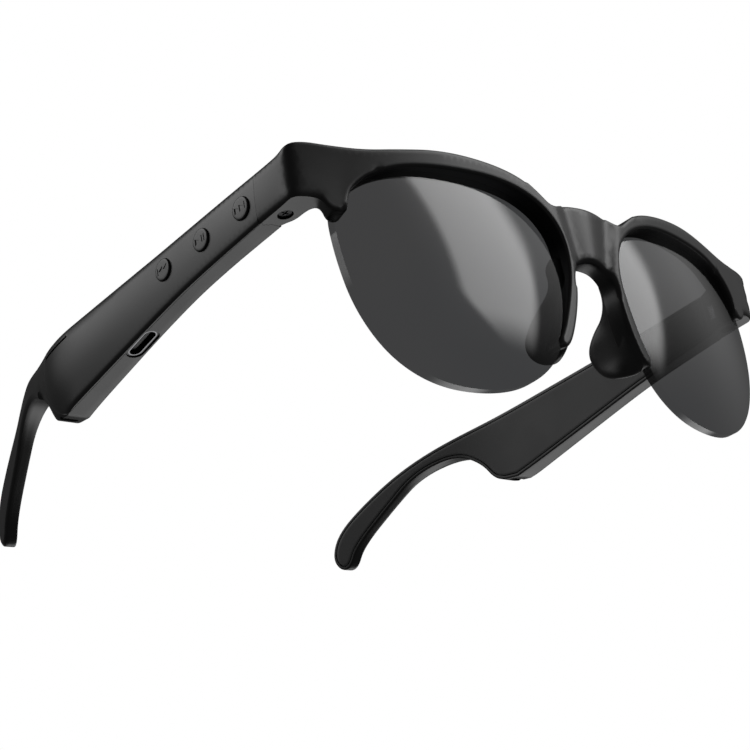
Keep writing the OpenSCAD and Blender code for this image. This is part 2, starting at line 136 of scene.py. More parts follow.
# Temple, seen from above: y, x of its inner and outer faces.
PLAN_IN = [(0, 69.3, 0), (TEMPLE_START, 69.7, 0), (30, 70.6), (50, 70.9), (66, 70.6),
           (84, 70.2), (96, 68.6), (112, 64.6), (133.5, 59), (148.6, 54.7, 0), (156, 52.6, 0)]
PLAN_OUT = [(0, 78.8, 0), (72, 78.8, 0), (82, 78), (89, 76.9), (96, 74.9), (104.5, 72.6),
            (111, 70.3), (116, 68.4), (125, 65), (138, 61.3), (149.8, 58, 0), (156, 56.2, 0)]
CROWN_X = 75.35
CROWN_RISE = math.tan(math.radians(1.6))
CROWN_Z = -4.2
CROWN_FALL = math.tan(math.radians(3.3))
CROWN_R = 60.0
CROWN_DROP = 4.0              # the crown falls no further than this
OUTER_BLEND = 1.5             # how softly the crown turns into the rear of the bulge
BULGE_FROM = (78, 88)         # the rear of the bulge is rounded from here
BULGE_TO = (98, 108)          # to here,
BULGE_Z = -8.0                # away from this height,
BULGE_ROUND = 0.012           # by this times the square of the distance
ARM_FROM = (92, 106)          # the bulge thins out into the arm
TOP_Z = -4.0                  # edges above this height are top edges
TOP_FALL = (118, 0.6)         # which falls behind this place, by this slope
TIP_Y = 150.0
TOP_EDGE = 1.7                # radius of the top edge at the hinge
TOP_EDGE_GAIN = 0.8           # it grows towards the bulge
TOP_EDGE_RUN = (12, 50)
TOP_EDGE_LOSS = 1.2           # and is smaller on the arm
# The bulge's rear edge is crisp at the bottom and soft higher up.
REAR_Y = (85.4, 99)
REAR_Z = (-19.2, -14.5)
REAR_SOFT = 2.4
REAR_SOFT_DEEP = 1.8
LOW_EDGE = (1.2, 0.4, 0.8)    # width, depth and crease of the temple's lower edge
ARM_EDGE = (-0.2, 0.3)        # what the arm adds to its width and depth
INNER_EDGE = (0.35, 0.35, 0)
SEAM_X = 74.5
SEAM_RISE = math.tan(math.radians(0.95))
SEAM_LEAN_Z = -4.6
# Share of the front's lean that the seam with the temple takes, from inside to outside.
SEAM_BEND = [(60, 0.0), (72.4, 0.0), (73.2, 0.3), (74, 0.7), (74.8, 1.0), (85, 1.0)]
SEAM_LOW = -30.0
SEAM_HIGH = 12.0
FAR_BACK = 40.0
FAR_AHEAD = -20.0
COVER_GAP = 0.05              # half the gap between a temple's body and its outer cover

PANEL_MARGIN = 0.85
PANEL_GAP = 0.2
PANEL_T = 0.7
PANEL_SUNK = 0.05             # the inner cover lies this much below the body's edge
PANEL_EDGE = (0.1, 0.1, 0)
PANEL_REAR_EDGE = (0.18, 0.18, 0)

PIVOT = (71.7, 8.9)
HINGE_ROOM = 2.0              # free space round the pivot
HINGE_LOW = -7.4
HINGE_HIGH = -1.6
HINGE_SIDE = (60, 14)         # how far the space runs inwards and back
HEAD_R = 1.65                 # hole for the hinge screw's head
HEAD_LOW = -12.0
HEAD_TOP = -8.4
BUTTON_R = 2.4
BUTTON_GAP = 0.1
BUTTON_BACK = 74.3
WELL_REACH = (70, 90)         # a button's hole is cut between these distances from the middle
BUTTON_EDGE = (0.22, 0.2, 0)
BUTTON_REAR_EDGE = (0.05, 0.05, 0)
BUTTON_Y = 16.9
BUTTON_PITCH = 13.1           # from one button to the next
BUTTON_Z = -5.2
BUTTON_PROUD = 0.45
PORT_Y = 57.5
PORT_X = 73.4
PORT_W = 8.94
PORT_H = 3.16
PORT_DEEP = 7.4
RECESS_RIM = 1.0              # the recess round the port is this much larger
RECESS_DEEP = 0.4
BELLY = (47, -13.4)           # where the underside of the bulge begins: y, z
BELLY_SLOPE = 9.2
OUTLET = (73.2, 88.6, -18.6)  # middle of the sound outlet
OUTLET_TURN = math.radians(25)
OUTLET_W = 4.4
OUTLET_H = 1.7
OUTLET_DEEP = 2.6
VENT = (76.72, 85.9, -2.85)   # middle of the sound slot
VENT_L = 11.5
VENT_W = 0.6
VENT_DEEP = 2.0
VENT_TURN = math.radians(6)   # the slot opens outwards and this far upwards
VENT_FALL = (-0.093, -0.06)   # and follows the outline inwards and down, with a bend
VENT_BEND = 0.01
PROUD = 1.0                   # how far a cutter stands out of the surface it cuts
FINE = 0.8                    # spacing of points along outlines
FINER = 0.7
LENS_RINGS = (0.2, 0.8, 2.0)  # rows of points that follow an outline, this far inside it
PAD_RINGS = (0.05, 0.2, 0.5, 0.9, 1.6)
PANEL_RINGS = (0.05, 0.2, 0.8)
BUTTON_RINGS = (0.03, 0.1, 0.22, 0.6)


# ---------------------------------------------------------------- outlines

def smooth(value, low, high):
    t = np.clip((value - low) / (high - low), 0, 1)
    return t * t * (3 - 2 * t)


def is_sharp(point):
    return len(point) == 3


def soft(points, closed=True, steps=10):
    """Rounds every corner that is not marked sharp. Returns the points and which are sharp."""
    out, sharp = [], []
    count = len(points)
    for i, point in enumerate(points):
        mid = np.array(point[:2], float)
        at_end = not closed and i in (0, count - 1)
        if is_sharp(point) or at_end:
            out.append(mid)
            sharp.append(True)
            continue
        before = (np.array(points[i - 1][:2], float) + mid) / 2
        after = (np.array(points[(i + 1) % count][:2], float) + mid) / 2
        last = steps + 1 if is_sharp(points[(i + 1) % count]) else steps
        for k in range(last):
            t = k / steps
            out.append((1 - t) ** 2 * before + 2 * t * (1 - t) * mid + t * t * after)
            sharp.append(False)
    return np.array(out), np.array(sharp)


def spaced(points, sharp, spacing):
    """Even spacing along a closed outline, from one sharp corner to the next."""
    corners = list(np.flatnonzero(sharp)) or [0]
    points = np.roll(points, -corners[0], axis=0)
    corners = [c - corners[0] for c in corners] + [len(points)]
    closed = np.vstack([points, points[:1]])
    out = []
    for a, b in zip(corners[:-1], corners[1:]):
        run = closed[a:b + 1]
        along = np.concatenate([[0], np.cumsum(np.linalg.norm(np.diff(run, axis=0), axis=1))])
        count = max(1, round(along[-1] / spacing))
        at = np.linspace(0, along[-1], count, endpoint=False)
        out.append(np.column_stack([np.interp(at, along, run[:, k]) for k in (0, 1)]))
    return np.vstack(out)


def outline(points, spacing=FINE):
    return spaced(*soft(points), spacing)


def profile(points):
    """A curve through rounded corners, as a function of its first value."""
    line, _ = soft(points, closed=False)
    return lambda at: np.interp(at, line[:, 0], line[:, 1])


def nearest(points, loop):
    """Distance of each point from a closed loop, the nearest segment and the place along it."""
    a, ab = loop, np.roll(loop, -1, axis=0) - loop
    length2 = (ab ** 2).sum(1)
    distance, index, place = [], [], []
    for chunk in np.array_split(points, max(1, len(points) // 400)):
        ap = chunk[:, None, :] - a[None]
        t = np.clip((ap * ab).sum(2) / length2, 0, 1)
        d2 = ((ap - t[..., None] * ab) ** 2).sum(2)
        best = d2.argmin(1)
        row = np.arange(len(chunk))
        distance.append(np.sqrt(d2[row, best]))
        index.append(best)
        place.append(t[row, best])
    return np.concatenate(distance), np.concatenate(index), np.concatenate(place)


def inside(points, loop):
    a, b = loop, np.roll(loop, -1, axis=0)
    hit = np.zeros(len(points), bool)
    for (ax, ay), (bx, by) in zip(a, b):
        if ay == by:
            continue
        crosses = (ay > points[:, 1]) != (by > points[:, 1])
        hit ^= crosses & (points[:, 0] < (bx - ax) * (points[:, 1] - ay) / (by - ay) + ax)
    return hit


def inset(loop, distance):
    """The loop drawn inwards by distance, keeping only points that are truly that far in."""
    tangent = np.roll(loop, -1, axis=0) - np.roll(loop, 1, axis=0)
    tangent /= np.linalg.norm(tangent, axis=1)[:, None]
    normal = np.column_stack([-tangent[:, 1], tangent[:, 0]])
    turn = np.roll(loop, -1, axis=0)
    area = (loop[:, 0] * turn[:, 1] - turn[:, 0] * loop[:, 1]).sum()
    moved = loop + math.copysign(distance, area) * normal
    far, _, _ = nearest(moved, loop)
    return moved[(far > distance * 0.985) & inside(moved, loop)]


# ------------------------------------------------------------------ meshes

RINGS = (0.03, 0.12, 0.3, 0.6, 1.0, 1.5, 2.2)


def plate_points(loop, rings, grid):
    """Points inside a loop: rows that follow its edge and an even field in its middle."""
    parts = [loop]
    for distance in rings:
        ring = inset(loop, distance)
        step = 1 if distance < 1.2 else 2
        parts.append(ring[::step])
    low, high = loop.min(0), loop.max(0)
    rows = np.arange(low[1], high[1], grid * 0.87)
    field = np.array([(x + (k % 2) * grid / 2, y) for k, y in enumerate(rows)
                      for x in np.arange(low[0], high[0], grid)])
    field = field[inside(field, loop)]
    far, _, _ = nearest(field, loop)
    parts.append(field[far > max(rings) + grid * 0.4])
    return np.vstack(parts)


def triangles(points, loop_count, loop):
    """Triangles over the points that lie inside the loop, which is made of the first points."""
    edges = [(i, (i + 1) % loop_count) for i in range(loop_count)]
    verts, _, faces, origin, _, _ = delaunay_2d_cdt(
        [Vector(p) for p in points], edges, [], 0, 1e-7)
    where = [o[0] if o else None for o in origin]
    faces = np.array([[where[i] for i in f] for f in faces if None not in
                      [where[i] for i in f]])
    middle = points[faces].mean(1)
    return faces[inside(middle, loop)]


def edge_drop(q, depth, crease):
    """How deep a rounded edge lies: q is 1 at the edge and 0 where the rounding ends."""
    q = np.clip(q, 0, 1)
    return depth * ((1 - crease) * (1 - np.sqrt(1 - q * q)) + crease * q * q)


def plate(name, loop, surface, front_edge, back_edge, rings=RINGS, grid=1.6, rows=2,
          side=1, step=None):
    """A body between two surfaces over an outline, with rounded edges.

    surface(u, v, back, drop) gives level points; front_edge and back_edge give the width, depth
    and crease of the rounding at the outline's points; step sinks the middle of the back.
    """
    if step:
        rings = tuple(sorted(set(rings) | {step[0], step[0] + 0.02}))
    points = plate_points(loop, rings, grid)
    faces = triangles(points, len(loop), loop)
    far, index, place = nearest(points, loop)
    far[:len(loop)] = 0
    sheets = []
    for back, edge in ((False, front_edge), (True, back_edge)):
        values = np.array([edge(u, v) for u, v in loop], float)
        after = np.roll(values, -1, axis=0)
        width, depth, crease = (
            values[index] * (1 - place[:, None]) + after[index] * place[:, None]).T
        drop = edge_drop(1 - far / width, depth, crease)
        if back and step:
            drop = np.where(far > step[0] + 0.01, step[1], drop)
        sheets.append(surface(points[:, 0], points[:, 1], back, drop))
    count, rim = len(points), len(loop)
    verts = [*sheets]
    for k in range(1, rows + 1):
        t = k / (rows + 1)
        verts.append(sheets[0][:rim] * (1 - t) + sheets[1][:rim] * t)
    levels = [0] + [2 * count + k * rim for k in range(rows)] + [count]
    polygons = [tuple(f) for f in faces] + [tuple(f[::-1] + count) for f in faces]
    for a, b in zip(levels[:-1], levels[1:]):
        for i in range(rim):
            j = (i + 1) % rim
            polygons.append((a + i, b + i, b + j, a + j))
    return mesh_object(name, np.vstack(verts), polygons, side)


def mesh_object(name, verts, polygons, side=1):
    """A mesh from level millimetre points; side -1 mirrors it to the wearer's right."""
    verts = np.asarray(verts, float) * (side, 1, 1)
    mesh = bpy.data.meshes.new(name)
    mesh.from_pydata([STAND @ (Vector(v) * MM) for v in verts], [],
                     [tuple(int(i) for i in p) for p in polygons])
    obj = bpy.data.objects.new(name, mesh)
    bpy.context.scene.collection.objects.link(obj)
    clean(obj)
    return obj


def clean(obj, angle=32):
    """Outward normals, smooth faces and sharp edges where the surface turns quickly."""
    work = bmesh.new()
    work.from_mesh(obj.data)
    bmesh.ops.remove_doubles(work, verts=work.verts, dist=1e-7)
    bmesh.ops.recalc_face_normals(work, faces=work.faces)
    work.to_mesh(obj.data)
    work.free()
    obj.data.polygons.foreach_set("use_smooth", [True] * len(obj.data.polygons))
    obj.data.set_sharp_from_angle(angle=math.radians(angle))


def cut(obj, *cutters):
    """Takes the cutters away from obj, and removes them."""
    for cutter in cutters:
        modifier = obj.modifiers.new("cut", "BOOLEAN")
        modifier.operation = "DIFFERENCE"
        modifier.solver = "EXACT"
        modifier.use_self = True
        modifier.object = cutter
    evaluated = obj.evaluated_get(bpy.context.evaluated_depsgraph_get())
    mesh = bpy.data.meshes.new_from_object(evaluated)
    obj.modifiers.clear()
    obj.data = mesh
    for cutter in cutters:
        bpy.data.objects.remove(cutter)
    clean(obj)


def split(obj, point, normal):
    """Keeps the side of a level plane that its normal points away from."""
    turn = STAND.to_3x3()
    work = bmesh.new()
    work.from_mesh(obj.data)
    whole = work.verts[:] + work.edges[:] + work.faces[:]
    cut_through = bmesh.ops.bisect_plane(
        work, geom=whole, plane_co=STAND @ (Vector(point) * MM), plane_no=turn @ Vector(normal),
        clear_outer=True, dist=1e-8)
    edges = [e for e in cut_through["geom_cut"] if isinstance(e, bmesh.types.BMEdge)]
    bmesh.ops.triangle_fill(work, use_beauty=True, edges=edges)
    work.to_mesh(obj.data)
    work.free()
    clean(obj)


def stadium(length, width, count=12, sides=1):
    """A closed outline with round ends, its long side along the first axis."""
    radius, half = width / 2, (length - width) / 2
    right = [(half + radius * math.cos(a), radius * math.sin(a))
             for a in np.linspace(-math.pi / 2, math.pi / 2, count)]
    side = [(half - 2 * half * k / sides, radius) for k in range(1, sides)]
    return right + side + [(-x, -y) for x, y in right + side]


def prism(name, points, place, low, high, side=1):
    """A straight solid over an outline: place(a, b, c) gives level points, c runs low to high."""
    count = len(points)
    verts = [place(a, b, c) for c in (low, high) for a, b in points]
    polygons = [tuple(range(count)), tuple(range(2 * count - 1, count - 1, -1))]
    polygons += [(i, i + count, (i + 1) % count + count, (i + 1) % count) for i in range(count)]
    return mesh_object(name, verts, polygons, side)


def circle(radius, count=48):
    turns = (2 * math.pi * i / count for i in range(count))
    return [(radius * math.cos(a), radius * math.sin(a)) for a in turns]


def box(name, low, high, side=1):
    square = [(low[0], low[1]), (high[0], low[1]), (high[0], high[1]), (low[0], high[1])]
    return prism(name, square, lambda a, b, c: (a, b, c), low[2], high[2], side)


# --------------------------------------------------------------- materials

def material(name):
    made = bpy.data.materials.new(name)
    made.use_nodes = True
    shader = made.node_tree.nodes["Principled BSDF"]
    return made, made.node_tree, shader


def grain(tree, scale, detail=3.0):
    """A fine even noise on the object itself, in grains per metre."""
    where = tree.nodes.new("ShaderNodeTexCoord")
    noise = tree.nodes.new("ShaderNodeTexNoise")
    noise.inputs["Scale"].default_value = scale
    noise.inputs["Detail"].default_value = detail
    tree.links.new(where.outputs["Object"], noise.inputs["Vector"])
    return noise.outputs["Fac"]


def spread(tree, value, low, high):
    """Turns a noise into a range of roughness."""
    node = tree.nodes.new("ShaderNodeMapRange")
    node.inputs["From Min"].default_value = 0.3
    node.inputs["From Max"].default_value = 0.7
    node.inputs["To Min"].default_value = low
    node.inputs["To Max"].default_value = high
    tree.links.new(value, node.inputs["Value"])
    return node.outputs["Result"]


def tones(tree, value, dark, light):
    ramp = tree.nodes.new("ShaderNodeValToRGB")
    ramp.color_ramp.elements[0].color = (*dark, 1)
    ramp.color_ramp.elements[0].position = 0.35
    ramp.color_ramp.elements[1].color = (*light, 1)
    ramp.color_ramp.elements[1].position = 0.65
    tree.links.new(value, ramp.inputs["Fac"])
    return ramp.outputs["Color"]


def relief(tree, value, shader, depth):
    bump = tree.nodes.new("ShaderNodeBump")
    bump.inputs["Strength"].default_value = 0.5
    bump.inputs["Distance"].default_value = depth
    tree.links.new(value, bump.inputs["Height"])
    tree.links.new(bump.outputs["Normal"], shader.inputs["Normal"])


def surface(name, dark, light, rough, scale=1500.0, depth=0.000004, metal=0.0, ior=1.5):
    """A moulded or metal surface: a fine grain, slightly uneven in tone and in shine."""
    made, tree, shader = material(name)
    fine = grain(tree, scale)
    broad = grain(tree, 60.0, 2.0)
    tree.links.new(tones(tree, broad, dark, light), shader.inputs["Base Color"])
    tree.links.new(spread(tree, broad, *rough), shader.inputs["Roughness"])
    relief(tree, fine, shader, depth)
    shader.inputs["Metallic"].default_value = metal
    shader.inputs["IOR"].default_value = ior
    return made


def grey(value):
    return (value, value, value * 1.04)


def tinted_glass():
    """A dark lens: it lets a little light straight through, and mirrors more at a slant."""
    made, tree, shader = material("tinted_lens")
    nodes, links = tree.nodes, tree.links
    nodes.remove(shader)
    clear = nodes.new("ShaderNodeBsdfTransparent")
    gloss = nodes.new("ShaderNodeBsdfGlossy")
    fresnel = nodes.new("ShaderNodeFresnel")
    where = nodes.new("ShaderNodeNewGeometry")
    outside = nodes.new("ShaderNodeMath")
    mirror = nodes.new("ShaderNodeMath")
    mix = nodes.new("ShaderNodeMixShader")
    broad = grain(tree, 25.0, 1.0)
    links.new(tones(tree, broad, (0.212, 0.214, 0.218), (0.222, 0.222, 0.224)), clear.inputs[0])
    gloss.inputs["Color"].default_value = (1, 1, 1, 1)
    links.new(spread(tree, broad, 0.05, 0.08), gloss.inputs["Roughness"])
    fresnel.inputs["IOR"].default_value = 1.5
    outside.operation = "SUBTRACT"
    outside.inputs[0].default_value = 1.0
    links.new(where.outputs["Backfacing"], outside.inputs[1])
    mirror.operation = "MULTIPLY"
    links.new(fresnel.outputs[0], mirror.inputs[0])
    links.new(outside.outputs[0], mirror.inputs[1])
    links.new(mirror.outputs[0], mix.inputs[0])
    links.new(clear.outputs[0], mix.inputs[1])
    links.new(gloss.outputs[0], mix.inputs[2])
    links.new(mix.outputs[0], nodes["Material Output"].inputs["Surface"])
    return made


def make_materials():
    return {
        "frame_plastic": surface("frame_plastic", grey(0.004), grey(0.006), (0.3, 0.36)),
        "cover_plastic": surface("cover_plastic", grey(0.004), grey(0.006), (0.27, 0.33)),
        "inner_plastic": surface("inner_plastic", grey(0.012), grey(0.016), (0.4, 0.48)),
        "button_plastic": surface("button_plastic", grey(0.004), grey(0.006), (0.26, 0.32)),
        "tinted_lens": tinted_glass(),
        "pad_silicone": surface("pad_silicone", grey(0.006), grey(0.008), (0.34, 0.42)),
        "hinge_steel": surface("hinge_steel", grey(0.34), grey(0.42), (0.22, 0.32), 900, metal=1),
        "screw_steel": surface("screw_steel", grey(0.015), grey(0.03), (0.35, 0.45), 900, metal=1),
        "core_steel": surface("core_steel", grey(0.4), grey(0.5), (0.25, 0.35), 900, metal=1),
        "flex_copper": surface("flex_copper", (0.45, 0.2, 0.07), (0.55, 0.27, 0.1),
                               (0.3, 0.45), 700),
        "board_green": surface("board_green", (0.012, 0.08, 0.03), (0.02, 0.12, 0.045),
                               (0.3, 0.45), 800),
        "chip_black": surface("chip_black", grey(0.012), grey(0.02), (0.4, 0.55), 2500),
        "mic_metal": surface("mic_metal", (0.5, 0.38, 0.16), (0.6, 0.46, 0.2),
                             (0.2, 0.35), 1200, metal=1),
        "switch_metal": surface("switch_metal", grey(0.5), grey(0.6), (0.2, 0.35), 1200, metal=1),
        "port_steel": surface("port_steel", grey(0.16), grey(0.2), (0.12, 0.2), 1200,
                              0.000001, 1),
        "port_tongue": surface("port_tongue", grey(0.008), grey(0.012), (0.35, 0.5)),
        "cell_foil": surface("cell_foil", grey(0.25), grey(0.36), (0.25, 0.5), 300, 0.00002, 1),
        "speaker_black": surface("speaker_black", grey(0.02), grey(0.04), (0.4, 0.6), 1500),
        "sound_mesh": surface("sound_mesh", grey(0.004), grey(0.02), (0.6, 0.9), 5000, 0.00003),
    }


MATERIALS = make_materials()


def side_name(side):
    """The wearer's side: 1 is left and -1 is right."""
    return "left" if side > 0 else "right"


def finish_piece(obj, slot, body, *nodes):
    """Gives a piece the material for its slot, hangs it on its body and hides the CAD nodes that it
    stands for.
    """
    obj.data.materials.clear()
    obj.data.materials.append(MATERIALS[slot])
    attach(obj, body)
    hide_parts(*nodes)


# ------------------------------------------------------------------- front

def outer_curve(s):
    """The front's outer side in plan, at height 0, for distances along the face."""
    side = np.abs(s)
    turn = np.clip((side - CORNER_S) / CORNER_R, 0, CORNER_TURN) + math.pi / 2 - CORNER_TURN
    x = np.where(side < CORNER_S, side, CORNER_MID[0] + CORNER_R * np.sin(turn))
    y = np.where(side < CORNER_S, FRONT_Y + side ** 2 / (2 * FRONT_R),
                 CORNER_MID[1] - CORNER_R * np.cos(turn))
    y = y + np.maximum(side - ARC_END, 0)
    return x, y


INNER_X = profile([(s, x) for s, x, _ in INNER_CURVE])
INNER_Y = profile([(s, y) for s, _, y in INNER_CURVE])


def inner_curve(s):
    side = np.abs(s)
    near = INNER_CURVE[0][0]
    arc = FRONT_Y + DEPTH + side ** 2 / (2 * (FRONT_R - DEPTH)) + INNER_SHIFT * (side / near) ** 2
    start = FRONT_Y + DEPTH + near ** 2 / (2 * (FRONT_R - DEPTH)) + INNER_SHIFT
    settle = np.clip((side - near) / INNER_SETTLE, 0, 1)
    x = np.where(side < near, side * INNER_CURVE[0][1] / near, INNER_X(side))
    y = np.where(side < near, arc, INNER_Y(side) + (start - INNER_CURVE[0][2]) * (1 - settle))
    return x, y


def bridge_recess(s, z):
    """How far the bridge's face lies behind the rims beside it."""
    edge = BRIDGE_HALF + (z - BRIDGE_Z) * BRIDGE_FLARE
    u = np.clip((edge - np.abs(s)) / edge, 0, 1)
    fall = smooth(u, *BRIDGE_FALL) * BRIDGE_DEEP - smooth(u, *BRIDGE_SWELL) * BRIDGE_CROWN
    return np.where(z > BRIDGE_LOW, fall, 0)


def front_surface(s, z, back, drop):
    """Level points of the front: o is its outer side and i its inner side."""
    ox, oy = outer_curve(s)
    ix, iy = inner_curve(s)
    straight = np.clip((np.abs(s) - STRAIGHT) / STRAIGHT_RUN, 0, 1)
    lean = np.where(z < 0, LEAN + (LOW_LEAN - LEAN) * straight, LEAN)
    oy = oy - lean * z + bridge_recess(s, z)
    iy = iy - LEAN * z * (1 - straight)
    flush = smooth(np.abs(s), *FLUSH)
    ox = ox + flush * (crown(oy, z) - CORNER_MID[0] - CORNER_R)
    rim_end = (np.abs(s) > RIM_END[0]) & (np.abs(s) < RIM_END[1]) & (z < RIM_END_TOP)
    iy = np.where(rim_end, np.minimum(iy, RIM_END_BACK), iy)
    depth = np.hypot(ix - ox, iy - oy)
    t = np.clip(drop / depth, 0, EDGE_SHARE)
    t = 1 - t if back else t
    x = (ox + (ix - ox) * t) * np.sign(np.where(s == 0, 1, s))
    return np.column_stack([x, oy + (iy - oy) * t, z])


def front_edge(s, z):
    """Width, depth and crease of the rounding along the front's outline."""
    s = abs(s)
    brow = z > BROW_Z[s > BROW_CHANGE]
    if s > UNDER_END[0] and z < UNDER_END[1]:
        return END_EDGE
    if s > BROW_ENDS and brow:
        shrunk = BROW_EDGE[0] - BROW_LOSS * smooth(s, *BROW_LOSS_RUN)
        radius = shrunk + CORNER_GAIN * smooth(s, *CORNER_GAIN_RUN)
        return radius, radius, 0
    return BROW_EDGE if brow or s < BRIDGE_EDGE_S else RIM_EDGE


def seam_cutter(side, near, far):
    """What lies between the seam with the temple, which leans outside, and a plane far from it."""
    def place(x, y, z):
        lean = np.interp(x, *zip(*SEAM_BEND)) * LEAN * (z - SEAM_LEAN_Z)
        return x, y - lean * (y == near), z

    points = [(x, near) for x, _ in SEAM_BEND] + [(x, far) for x, _ in reversed(SEAM_BEND)]
    return prism("seam", points, place, SEAM_LOW, SEAM_HIGH, side)


def make_front():
    mirrored = [(-p[0], *p[1:]) for p in reversed(FRONT_HALF[1:-1])]
    front = plate("front_frame_moulded", outline(FRONT_HALF + mirrored), front_surface,
                  front_edge, lambda u, v: REAR_EDGE, rows=3)
    for side in (1, -1):
        cut(front, seam_cutter(side, SEAM_Y - SEAM_GAP, FAR_BACK))
        cut(front, box("slot", (HINGE_SIDE[0], PIVOT[1] - HINGE_ROOM, HINGE_LOW),
                       (PIVOT[0] + HINGE_ROOM, HINGE_SIDE[1], HINGE_HIGH), side))
        cut(front, prism("head", circle(HEAD_R),
                         lambda a, b, c: (PIVOT[0] + a, PIVOT[1] + b, c),
                         HEAD_LOW, HEAD_TOP, side))
    finish_piece(front, "frame_plastic", "front", "front_frame")


# ------------------------------------------------------------------ lenses

def lens_centre():
    slope = Vector((-LENS_SLOPE[0], 1, -LENS_SLOPE[1])).normalized()
    return Vector(LENS_APEX) + LENS_R * slope


LENS_MID = lens_centre()


def lens_surface(x, z, back, drop):
    radius = LENS_R - (LENS_T if back else 0)
    flat = (x - LENS_MID.x) ** 2 + (z - LENS_MID.z) ** 2
    y = LENS_MID.y - np.sqrt(radius ** 2 - flat)
    return np.column_stack([x, y - drop if back else y + drop, z])


def make_lens(side):
    lens = plate("lens_cut_" + side_name(side), outline(LENS, FINER), lens_surface,
                 lambda u, v: LENS_EDGE, lambda u, v: LENS_REAR_EDGE,
                 rings=LENS_RINGS, grid=2.0, side=side)
    finish_piece(lens, "tinted_lens", "front", "lens_" + side_name(side))


# --------------------------------------------------------------- nose pads

# Pad: its side outline as y, z; then the x of its inner side, by height, in front and behind.
PAD = [
    (-6, -13.5), (-4.5, -12.8), (-2.5, -12.6), (-0.6, -15), (-1, -18.5), (0.6, -21.6),
    (5.6, -24.8), (8.4, -28.8), (6.8, -33.6), (3, -36.4), (-2.6, -37), (-4.6, -33), (-5.4, -22),
]
PAD_FRONT = [(-40, 12.6), (-37, 12.2), (-31, 9.4), (-23, 7.2), (-17.5, 6.9), (-10, 6.6)]
PAD_BACK = [(-40, 9.9), (-36.9, 9.9), (-32, 9.9), (-29.5, 9.5), (-26.6, 9.0), (-22.6, 8.7),
            (-18, 8.3), (-10, 8.3)]
PAD_TURN = (-4.0, 2.5)        # between these depths its inner side turns from front to back
PAD_T = 2.4
PAD_EDGE = (1.6, 1.1, 0)


def pad_surface(y, z, back, drop):
    near = np.interp(z, *zip(*PAD_FRONT))
    far = np.interp(z, *zip(*PAD_BACK))
    inner = near + (far - near) * smooth(y, *PAD_TURN)
    return np.column_stack([inner + PAD_T - drop if back else inner + drop, y, z])


def make_pad(side):
    name = "nose_pad_" + side_name(side)
    pad = plate(name + "_soft", outline(PAD, FINER), pad_surface, lambda u, v: PAD_EDGE,
                lambda u, v: PAD_EDGE, rings=PAD_RINGS, grid=1.2, rows=1, side=side)
    finish_piece(pad, "pad_silicone", "front", name)


# ----------------------------------------------------------------- temples

X_IN = profile(PLAN_IN)
X_OUT = profile(PLAN_OUT)


def crown(y, z):
    """The outer covers' face: a wide round that runs along the temple."""
    top = CROWN_X + (y - TEMPLE_START) * CROWN_RISE
    middle = CROWN_Z - (y - TEMPLE_START) * CROWN_FALL
    round_off = (z - middle) ** 2 / (2 * CROWN_R)
    return top - np.minimum(round_off, CROWN_DROP)


def outer_face(y, z):
    """The temple's outer side: its crown, drawn in behind the bulge."""
    bulge = smooth(y, *BULGE_FROM) * (1 - smooth(y, *BULGE_TO))
    a, b = crown(y, z), X_OUT(y) - bulge * BULGE_ROUND * (z - BULGE_Z) ** 2
    blend = np.clip(0.5 + (a - b) / (2 * OUTER_BLEND), 0, 1)
    return a * (1 - blend) + b * blend - OUTER_BLEND * blend * (1 - blend)


def temple_surface(y, z, back, drop):
    x = X_IN(y) + drop if back else outer_face(y, z) - drop
    return np.column_stack([x, y, z])


def temple_edge(y, z):
    """Width, depth and crease of the rounding along the temple's outline."""
    width, depth, crease = LOW_EDGE
    arm = smooth(y, *ARM_FROM)
    top = z > TOP_Z - max(y - TOP_FALL[0], 0) * TOP_FALL[1]
    if top or y > TIP_Y:
        radius = TOP_EDGE + TOP_EDGE_GAIN * smooth(y, *TOP_EDGE_RUN) - TOP_EDGE_LOSS * arm
        return radius, radius, 0
    if REAR_Y[0] < y < REAR_Y[1]:
        turn = smooth(z, *REAR_Z)
        return width + REAR_SOFT * turn, depth + REAR_SOFT_DEEP * turn, crease * (1 - turn)
    return width + ARM_EDGE[0] * arm, depth + ARM_EDGE[1] * arm, crease


def belly_z(y):
    return BELLY[1] - (y - BELLY[0]) * math.tan(math.radians(BELLY_SLOPE))


def on_belly(y0, x0):
    """Level points from a shape on the underside: along the temple, across it and outwards."""
    turn = math.radians(BELLY_SLOPE)

    def place(along, across, out):
        y = y0 + along * math.cos(turn) - out * math.sin(turn)
        return x0 + across, y, belly_z(y0) - along * math.sin(turn) - out * math.cos(turn)

    return place


def outlet_place(along, across, out):
    """Level points from the sound outlet, under the back of the bulge."""
    y = OUTLET[1] + across * math.cos(OUTLET_TURN) + out * math.sin(OUTLET_TURN)
    z = OUTLET[2] + across * math.sin(OUTLET_TURN) - out * math.cos(OUTLET_TURN)
    return OUTLET[0] + along, y, z


def vent_place(along, across, out):
    """Level points from the sound slot, which lies high on the temple's outer face."""
    x = VENT[0] + VENT_FALL[0] * along - VENT_BEND * along ** 2
    z = VENT[2] + VENT_FALL[1] * along
    x += out * math.cos(VENT_TURN) - across * math.sin(VENT_TURN)
    z += out * math.sin(VENT_TURN) + across * math.cos(VENT_TURN)
    return x, VENT[1] + along, z


def vent_cutter(side):
    slot = stadium(VENT_L, VENT_W, sides=8)
    return prism("vent", slot, vent_place, -VENT_DEEP, VENT_DEEP, side)


